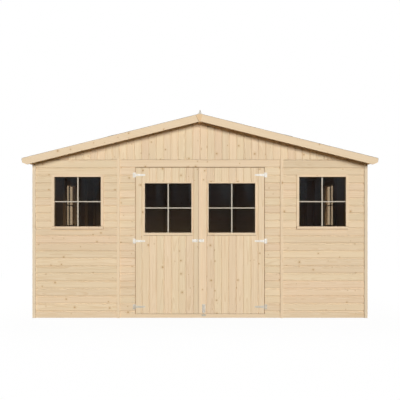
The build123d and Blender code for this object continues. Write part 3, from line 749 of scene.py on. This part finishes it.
def window(name, node, body, place, depth, side, top, bottom, proud, sill_proud, inner=0.0, inner_thick=0.0):
    """A window in its own frame: across, up and outwards, with the middle of the glass at the origin. depth
    is how far the lining reaches in. side, top and bottom are the widths of the trim beside the glass, and
    proud and sill_proud how far it stands out. inner and inner_thick are for a bead inside. The inner edges
    are planed back, so that the panes are a little larger than in the solid."""
    shape = Timber()
    w, h = GLASS_W / 2 + PLANED, GLASS_H / 2 + PLANED
    side, top, bottom, inner = side - PLANED, top - PLANED, bottom - PLANED, inner and inner - PLANED
    ow, oh = OPEN_W / 2, OPEN_H / 2
    sill_low = -h - bottom

    def put(low, high, axis, edge=0.0012, move=None, tone=None):
        block(shape, place, low, high, axis, edge, tone, move)

    def slant(c):
        """Slopes the sill's top down towards its nose."""
        nose_drop = 0.005
        if c.z > sill_proud * 0.6 and c.y > -h - bottom * 0.4:
            c.y -= nose_drop
        return c

    for s in (-1, 1):
        a, b = sorted((s * w, s * ow))
        put((a, -oh, -depth), (b, oh, -SEAT), 1)
        a, b = sorted((s * w, s * (w + side)))
        put((a, -h, 0.0), (b, h + top, proud), 1, TRIM_EDGE)
    put((-w, h, -depth), (w, oh, -SEAT), 0)
    put((-w, -oh, -depth), (w, -h, -SEAT), 0)
    put((-w, h, 0.0), (w, h + top, proud), 0, TRIM_EDGE)
    put((-w - side, sill_low, 0.0), (w + side, -h, sill_proud), 0, TRIM_EDGE, slant)
    if inner:
        # A dark strip under the sill: painted shadow
        shadow_low, shadow_high = (-w - side, sill_low - PAINTED_SHADOW_H, -0.001), (w + side, sill_low + 0.002, 0.0015)
        put(shadow_low, shadow_high, 0, 0.0003, tone=PAINTED_SHADOW_TONE)
        deep = -depth - inner_thick
        for s in (-1, 1):
            a, b = sorted((s * w, s * (w + inner)))
            put((a, -h, deep), (b, h, -depth), 1, TRIM_EDGE)
            a, b = sorted((s * h, s * (h + inner)))
            put((-w - inner, a, deep), (w + inner, b, -depth), 0, TRIM_EDGE)
    shape.make(name, body, "trim", TRIM, [node])

    # Bars on both sides of the glass. The level ones are a little thinner, so that no faces lie in one plane
    cross = Timber()
    front, rear = GLASS_FACES
    half_x, half_z, shy = UPRIGHT_BAR / 2, LEVEL_BAR / 2, 0.0003
    for near, far in ((front, front + BAR_DEPTH), (rear - BAR_DEPTH, rear)):
        block(cross, place, (-half_x, -h, near), (half_x, h, far), 1, BAR_EDGE)
        for s in (-1, 1):
            a, b = sorted((s * w, s * half_x))
            block(cross, place, (a, -half_z, near + shy), (b, half_z, far - shy), 0, BAR_EDGE)
    cross.make(name.replace("timber", "bars"), body, "trim", BARS)


for side, word in SIDES:
    place = placing((side * FRONT_X, -HALF_D, WINDOW_Z), (1, 0, 0), (0, 0, 1), (0, -1, 0))
    window(f"front_window_{word}_timber", f"front_window_{word}", "shed", place, **WALL_WINDOW)
    place = placing((side * HALF_W, SIDE_Y, WINDOW_Z), (0, 1, 0), (0, 0, 1), (side, 0, 0))
    window(f"{word}_window_timber", f"{word}_window", "shed", place, **WALL_WINDOW)
    place = placing((side * DOOR_X, -HALF_D, DOOR_WINDOW_Z), (1, 0, 0), (0, 0, 1), (0, -1, 0))
    window(f"{word}_door_window_timber", f"{word}_door_window", f"{word}_door", place, **DOOR_WINDOW)


def coat(node, material):
    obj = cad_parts[node]
    obj.data.materials.clear()
    obj.data.materials.append(material)
    return obj


for node in ("window_glass", "left_door_glass", "right_door_glass"):
    coat(node, GLASS)

# Metal: the CAD fittings with eased edges, and the screws and nails that hold everything
for node in ("hinge_plates", "left_door_hinges", "right_door_hinges", "left_door_latch", "right_door_keeper",
             "right_door_bolt"):
    obj = coat(node, ZINC)
    weld = obj.modifiers.new("weld", "WELD")
    weld.merge_threshold = SAME_PLACE
    bevel = obj.modifiers.new("ease", "BEVEL")
    bevel.width = 0.0006
    bevel.segments = 2
    bevel.limit_method = "ANGLE"
    bevel.angle_limit = math.radians(40)


def heads(name, body, spots, radius, rise, sides=8, cross=False):
    """Screw or nail heads: low domes, some with a cross for the driver. A spot is a place and a direction."""
    mesh = bpy.data.meshes.new(name)
    verts, faces = [], []
    for place, out in spots:
        out = Vector(out).normalized()
        u = out.orthogonal().normalized()
        v = out.cross(u)
        turn = rng.uniform(0, math.tau)
        rings = [[(r, h)] * sides for r, h in ((1.0, 0.0), (0.88, 0.6), (0.52, 0.97))]
        if cross:
            star = [0.44 if k % 4 in (0, 3) else 0.15 for k in range(sides)]
            rings += [[(r, 1.0) for r in star], [(r, 0.3) for r in star]]
        first = len(verts)
        for ring in rings:
            for k, (r, h) in enumerate(ring):
                a = turn + (k + 0.5) * math.tau / sides
                aside = (u * math.cos(a) + v * math.sin(a)) * r * radius
                verts.append(Vector(place) + aside + out * h * rise)
        for j in range(len(rings) - 1):
            for k in range(sides):
                a, b = first + j * sides + k, first + j * sides + (k + 1) % sides
                faces.append((a, b, b + sides, a + sides))
        faces.append([first + (len(rings) - 1) * sides + k for k in range(sides)])
        faces.append([first + k for k in reversed(range(sides))])
    mesh.from_pydata(verts, [], faces)
    mesh.materials.append(NAIL)
    into_scene(name, mesh, body, "hinge_steel")


# Screws: the radius, rise, sides and recess of their heads, and their places on each fitting
PLATE_SCREW = (0.0038, 0.0012, 16, True)
STRAP_SCREW = (0.0034, 0.0011, 16, True)
PLATE_Y = -HALF_D - 0.0025
PLATE_INSET, PLATE_HOLES = 0.009, (-0.020, 0.0, 0.020)
STRAP_HOLES = (0.030, 0.066, 0.103)
LATCH_INSETS = Vector((0.012, 0, 0.005)), Vector((0.012, 0, 0.005))
KEEPER_INSETS = Vector((0.008, 0, 0.005)), Vector((0.022, 0, 0.005))
BOLT_PLATE, BOLT_INSET, BOLT_HOLES = 0.096, 0.005, (0.008, 0.048, 0.088)


def corner_spots(node, insets):
    """Four spots near the corners of a fitting."""
    low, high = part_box(node)
    low, high = low + insets[0], high - insets[1]
    return [((x, PLATE_Y, z), FRONT) for x in (low.x, high.x) for z in (low.z, high.z)]


jamb_screws = []
for low, high in solid_boxes("hinge_plates"):
    side = 1 if low.x > 0 else -1
    x = side * (max(abs(low.x), abs(high.x)) - PLATE_INSET)
    z = (low.z + high.z) / 2
    jamb_screws += [((x, PLATE_Y, z + d), FRONT) for d in PLATE_HOLES]
heads("hinge_plate_screws", "shed", jamb_screws, *PLATE_SCREW)
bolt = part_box("right_door_bolt")
for side, word in SIDES:
    spots = []
    for low, high in solid_boxes(f"{word}_door_hinges"):
        z = (low.z + high.z) / 2
        spots += [((side * HALF_DOORWAY - side * d, PLATE_Y, z), FRONT) for d in STRAP_HOLES]
    if word == "left":
        spots += corner_spots("left_door_latch", LATCH_INSETS)
    else:
        spots += corner_spots("right_door_keeper", KEEPER_INSETS)
        foot = bolt[1].z - BOLT_PLATE
        spots += [((x, PLATE_Y, foot + d), FRONT) for x in (bolt[0].x + BOLT_INSET, bolt[1].x - BOLT_INSET)
                  for d in BOLT_HOLES]
    heads(f"{word}_door_screws", f"{word}_door", spots, *STRAP_SCREW)

KEEPER_Z = (0.020, 0.041)


def sill_keeper(x):
    """The bolt's keeper on the sill: a plate, and a staple of two legs and a bridge."""
    half_plate, plate_depth = 0.024, 0.0027
    half_staple, inside, staple_z = 0.0115, 0.009, (0.023, 0.036)
    leg_y, bridge_y = (-0.0165, 0.0005), (-0.0185, -0.0160)
    bm = bmesh.new()
    for (a, b), (near, far), (low, high) in (
        ((-half_plate, half_plate), (0.0, plate_depth), KEEPER_Z),
        ((-half_staple, -inside), leg_y, staple_z),
        ((inside, half_staple), leg_y, staple_z),
        ((-half_staple, half_staple), bridge_y, staple_z),
    ):
        cube = bmesh.ops.create_cube(bm, size=1.0)["verts"]
        stretched(cube, (x + a, PLATE_Y + near, low), (x + b, PLATE_Y + far, high))
    ease(bm, bm.edges[:], 0.0005)
    into_scene("sill_keeper", mesh_of(bm, "sill_keeper", ZINC), "shed", "hinge_steel")


bolt_x = (bolt[0].x + bolt[1].x) / 2
sill_keeper(bolt_x)
spots = [((bolt_x + d, PLATE_Y, sum(KEEPER_Z) / 2), FRONT) for d in (-0.0175, 0.0175)]
heads("sill_keeper_screws", "shed", spots, *STRAP_SCREW)

# Nails: the radius and rise of their heads
WALL_NAIL, LEAF_NAIL, CLOUT = (0.0021, 0.0004), (0.0019, 0.0004), (0.0048, 0.0011)
# Where two nails in one board are from its middle, and how far nails are from a window and a leaf's edge
LEVEL_PAIR, UPRIGHT_PAIR = (-0.024, 0.024), (-0.022, 0.022)
BESIDE_WINDOW, LEAF_EDGE = 0.022, 0.045
# A leaf's brace is higher than this, and its ledges are not
LEDGE_LIMIT = 0.1


def spread(half):
    """Seven evenly spaced places from -half to half."""
    return [half * (k - 3) / 3 for k in range(7)]


def level_nails():
    """Two nails in each of the twenty lowest level boards, at the studs of the four walls."""
    pins = []
    front_corner, side_corner, side_middle, back_reach = 0.060, 0.058, (-0.91, 0.87), 1.875
    under, over, beside, jamb = 0.045, 0.040, 0.030, 0.030
    reach = OPEN_W / 2 + BESIDE_WINDOW
    front_studs = (HALF_W - front_corner, FRONT_X + reach, FRONT_X - reach)
    side_studs = (-HALF_D + side_corner, HALF_D - side_corner, *side_middle)
    for z in [FIRST_JOINT + (k + 0.5) * COVER + d for k in range(20) for d in LEVEL_PAIR]:
        hits_window = WINDOW_LOW - under < z < WINDOW_TOP + over
        for x in front_studs:
            if not hits_window or abs(abs(x) - FRONT_X) > OPEN_W / 2 + beside:
                pins += [((s * x, -HALF_D, z), FRONT) for s in (-1, 1)]
        pins += [((s * (HALF_DOORWAY + jamb), -HALF_D, z), FRONT) for s in (-1, 1) if z < DOOR_HEAD]
        for y in side_studs + (() if hits_window else (SIDE_Y - reach, SIDE_Y + reach)):
            pins += [((s * HALF_W, y, z), (s, 0, 0)) for s in (-1, 1)]
        pins += [((x, HALF_D, z), (0, 1, 0)) for x in spread(back_reach)]
    return pins


def gable_nails():
    """Two nails at the foot of each upright board of the gables that is high enough for them."""
    pins = []
    foot, least_height = 0.022, 0.09
    for k in range(-22, 22):
        x = (k + 0.5) * UPRIGHT_COVER
        if roof_under(x) - GABLE_LINE > least_height:
            for d in UPRIGHT_PAIR:
                pins += [((x + d, s * HALF_D, GABLE_LINE + foot), (0, s, 0)) for s in (-1, 1)]
    return pins


def floor_nails():
    """Seven nails in each whole floor board."""
    middles = [FLOOR_DECK[0].y + (j + 0.5) * FLOOR_COVER for j in range(30)]
    return [((x, y, FLOOR_DECK[1].z), (0, 0, 1)) for x in spread(1.890) for y in middles]


def trim_nails():
    """Nails in the corner trims, door trims, bargeboards, eaves boards and the board over the doors."""
    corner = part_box("corner_trims")[1]
    strip_heights = [k * 0.305 + 0.10 for k in range(6)]
    strip_middle, side_higher, trim_thick = 0.019, 0.02, 0.016
    barge_places, barge_drops = [0.11 + k * 0.455 for k in range(5)], (0.024, 0.068)
    eaves_places, eaves_drop = np.arange(-1.5, 1.51, 0.5), 0.032
    header_places, header_drops = (0.35, 0.80), (0.022, 0.066)
    pins = []
    for s in (-1, 1):
        for z in strip_heights:
            for t in (-1, 1):
                pins.append(((s * (corner.x - strip_middle), t * corner.y, z), (0, t, 0)))
            for t in (-1, 1):
                pins.append(((s * corner.x, t * (corner.y - strip_middle), z + side_higher), (s, 0, 0)))
            pins.append(((s * TRIM_X, -HALF_D - trim_thick, z), FRONT))
        for x in barge_places:
            for drop in barge_drops:
                pins += [((s * x, t * ROOF_END, DECK_TOP - SLOPE * x - drop), (0, t, 0)) for t in (-1, 1)]
        pins += [((s * HALF_ROOF, y, EAVES_Z - eaves_drop), (s, 0, 0)) for y in eaves_places]
        for x in header_places:
            pins += [((s * x, -HALF_D, GABLE_LINE - d), FRONT) for d in header_drops]
    return pins


pins = level_nails() + gable_nails() + floor_nails() + trim_nails()
heads("nails", "shed", pins, *WALL_NAIL)

for side, word in SIDES:
    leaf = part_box(f"{word}_door_leaf")
    spots = []
    for low, high in solid_boxes(f"{word}_door_ledges"):
        if high.z - low.z >= LEDGE_LIMIT:
            continue
        for k in range(-9, 9):
            x = side * LEAF_JOINT + (k + 0.5) * LEAF_COVER
            if leaf[0].x + LEAF_EDGE < x < leaf[1].x - LEAF_EDGE:
                spots += [((x, -HALF_D, (low.z + high.z) / 2 + d), FRONT) for d in LEVEL_PAIR]
    heads(f"{word}_leaf_nails", f"{word}_door", spots, *LEAF_NAIL)


# Roofing felt
def prism(name, material, sections, steps, sway=0.0):
    """Sheets swept along y. A section is a closed outline of (x, z) with the y where it starts and ends."""
    bm = bmesh.new()
    for section, (near, far) in sections:
        count = len(section)
        rings = []
        for i in range(steps + 1):
            y = near + (far - near) * i / steps
            ring = []
            for x, z in section:
                lift = sway * noise.noise(Vector((x * 3, y * 3, z * 9)))
                ring.append(bm.verts.new((x, y, z + lift)))
            rings.append(ring)
        for a, b in zip(rings, rings[1:]):
            for i in range(count):
                j = (i + 1) % count
                bm.faces.new((a[i], a[j], b[j], b[i]))
        bm.faces.new(rings[0])
        bm.faces.new(list(reversed(rings[-1])))
    bmesh.ops.recalc_face_normals(bm, faces=bm.faces)
    return into_scene(name, mesh_of(bm, name, material), "shed", "felt")


SHEET = 0.0026
LAP_X = 0.98
LAP_END = LAP_X + 0.075
CAP_LIFT = SHEET * 2.1
FOLD_NOTCH = 0.018
TIP_PROUD = 0.003


def on_slope(s, x, lift):
    """A point above the deck, lift metres out from it, at x from the ridge."""
    return (s * (x + lift * SIN), DECK_TOP - SLOPE * x + lift * COS)


def lower_sheet(s):
    """From the lap down to the eaves, where it turns down over the eaves board."""
    bends = (LAP_X, (LAP_X + HALF_ROOF) / 2, HALF_ROOF - 0.012)
    outer, hem = HALF_ROOF + SHEET, 0.026
    fold = ((HALF_ROOF + SHEET * 0.7, 0.001), (outer, -0.004), (outer, -hem),
            (HALF_ROOF, -hem), (HALF_ROOF, -0.001))
    top = [on_slope(s, x, SHEET) for x in bends]
    under = [on_slope(s, x, 0.0002) for x in reversed(bends)]
    return top + [(s * x, EAVES_Z + z) for x, z in fold] + under


def upper_sheet(s):
    """From the ridge down over the lower sheet. A point is its place from the ridge and its height over the
    deck in sheets."""
    top = ((0.02, 1), (0.5, 1), (LAP_X - 0.03, 1), (LAP_X, 2), (LAP_END, 2))
    under = ((LAP_END, 1.02), (LAP_X, 1.02), (LAP_X - 0.03, 0.1), (0.5, 0.1), (0.02, 0.1))
    return [on_slope(s, x, SHEET * k) for x, k in top + under]


def ridge_cap():
    """The strip over the ridge with its upright fold."""
    fold = ((0.019, 0.006), (0.0125, 0.022), (0.0085, 0.036), (0.004, 0.0415))
    cap = []
    for s, order in ((-1, 1), (1, -1)):
        run = [on_slope(s, x, CAP_LIFT) for x in (0.17, 0.09, 0.04)]
        run += [(s * x, DECK_TOP + z) for x, z in fold]
        cap += run[::order]
    cap += [on_slope(1, x, CAP_LIFT / 2) for x in (0.17, 0.09, 0.02)] + [(0, DECK_TOP + 0.001)]
    return cap + [on_slope(-1, x, CAP_LIFT / 2) for x in (0.02, 0.09, 0.17)]


sections = []
for s in (-1, 1):
    sections += [(sheet(s), (-ROOF_END, ROOF_END)) for sheet in (lower_sheet, upper_sheet)]
sections.append((ridge_cap(), (-ROOF_END + FOLD_NOTCH, ROOF_END - FOLD_NOTCH)))
felt = prism("felt_sheets", FELT, sections, 60, 0.0009)
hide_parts("roof_felt")

# The folded ends of the cap, lighter and a little higher than the rest of it
half = [(0.024, -0.004), (0.018, 0.004), (0.0125, 0.016), (0.008, 0.030), (0.004, 0.0445)]
tip = [(x, DECK_TOP + z) for x, z in half] + [(-x, DECK_TOP + z) for x, z in reversed(half)]
ends = ((-ROOF_END - TIP_PROUD, -ROOF_END + FOLD_NOTCH), (ROOF_END - FOLD_NOTCH, ROOF_END + TIP_PROUD))
prism("felt_tips", FELT_EDGE, [(tip, span) for span in ends], 2)

# Clout nails along the eaves, the cap and the lap, and along both ends of the roof but not at the lap
clouts = []
CLOUT_STEP, FIRST_CLOUT, HEM_DROP, END_INSET, LAP_ROOM = 0.154, 0.05, 0.015, 0.012, 0.1
CAP_CLOUT, LAP_CLOUT, END_CLOUTS = 0.158, LAP_END - 0.02, (0.25, HALF_ROOF - 0.02)
for s in (-1, 1):
    normal = Vector((s * SIN, 0, COS))
    for y in np.arange(-ROOF_END + FIRST_CLOUT, ROOF_END, CLOUT_STEP):
        clouts.append(((s * (HALF_ROOF + SHEET), y, EAVES_Z - HEM_DROP), (s, 0, 0)))
        for x, z in (on_slope(s, CAP_CLOUT, CAP_LIFT), on_slope(s, LAP_CLOUT, SHEET * 2)):
            clouts.append(((x, y, z), normal))
    for x in np.arange(*END_CLOUTS, CLOUT_STEP):
        if abs(x - LAP_X) > LAP_ROOM:
            a, b = on_slope(s, x, SHEET)
            clouts += [((a, t * (ROOF_END - END_INSET), b), normal) for t in (-1, 1)]
heads("felt_clouts", "shed", clouts, *CLOUT)


# Floor, light and camera
def seen(n):
    """One for rays from the camera, off mirrors and through glass, and nothing for all others."""
    path = n.add("LightPath").outputs
    either = n.math("MAXIMUM", path["Is Camera Ray"], path["Is Glossy Ray"])
    return n.math("MAXIMUM", either, path["Is Transmission Ray"])


def stage_floor():
    """A floor that looks white to the camera, with a faint shadow near the shed. It throws a little warm
    light back at the shed."""
    mesh = bpy.data.meshes.new("studio_floor")
    r, z = 30.0, -0.001
    mesh.from_pydata([(-r, -r, z), (r, -r, z), (r, r, z), (-r, r, z)], [], [(0, 1, 2, 3)])
    n = Net("studio_floor")
    place = n.add("NewGeometry").outputs["Position"]
    reach = n.vec("LENGTH", n.vec("MULTIPLY", place, (1.0, 1.0, 0.0)))
    far = n.range(reach, 2.5, 5.0, 0.96, 1.0)
    warm = n.vec("SCALE", (1.0, 0.78, 0.5), n.range(reach, 2.8, 4.5, 0.24, 0.05))
    grey = n.mix(n.add("LightPath").outputs["Is Camera Ray"], warm, (0.85, 0.85, 0.85, 1.0))
    base = n.add("BsdfDiffuse", Color=grey).outputs[0]
    white = n.add("Emission", Color=WHITE, Strength=1.0).outputs[0]
    shader = n.add("MixShader", i0=n.times(far, seen(n)), i1=base, i2=white).outputs[0]
    mesh.materials.append(n.finish(shader))
    obj = linked("studio_floor", mesh)


def studio_world():
    """White to the camera, in mirrors and through glass, and a faint warm light to everything else."""
    n = Net("studio", bpy.data.worlds.new, "OutputWorld")
    faint = n.add("Background", Color=(1.0, 0.84, 0.62, 1.0), Strength=0.01).outputs[0]
    white = n.add("Background", Color=WHITE, Strength=1.0).outputs[0]
    scene.world = n.finish(n.add("MixShader", i0=seen(n), i1=faint, i2=white).outputs[0])


def lamp(name, place, aim, size, power):
    """A square lamp that lights the shed and isn't seen itself."""
    data = bpy.data.lights.new(name, "AREA")
    data.shape = "SQUARE"
    data.size = size
    data.energy = power
    obj = linked(name, data)
    obj.location = place
    obj.rotation_mode = "QUATERNION"
    obj.rotation_quaternion = (Vector(aim) - Vector(place)).to_track_quat("-Z", "Y")
    obj.visible_camera = False
    obj.visible_glossy = False


stage_floor()
studio_world()
lamp("key", (2.2, -18.9, 5.1), (-8.0, -1.5, 1.4), 5.6, 3400)
lamp("side_left", (-14.0, 1.5, 5.5), (0, 0, 1.0), 5.0, 1500)
lamp("side_right", (14.0, 1.5, 5.5), (0, 0, 1.0), 5.0, 1500)
lamp("back", (-2.0, 15.0, 6.0), (0, 0, 1.0), 5.0, 1750)
lamp("top", (0.0, 3.0, 14.0), (0, 0, 1.0), 5.0, 800)

camera = bpy.data.cameras.new("camera")
camera.sensor_width = 36.0
camera.lens = 42.21
camera.shift_y = 0.05
camera_object = linked("camera", camera)
camera_object.location = (0.0, -6.98, 1.143)
camera_object.rotation_euler = (math.radians(90), 0, 0)
scene.camera = camera_object
scene.view_settings.view_transform = "Standard"
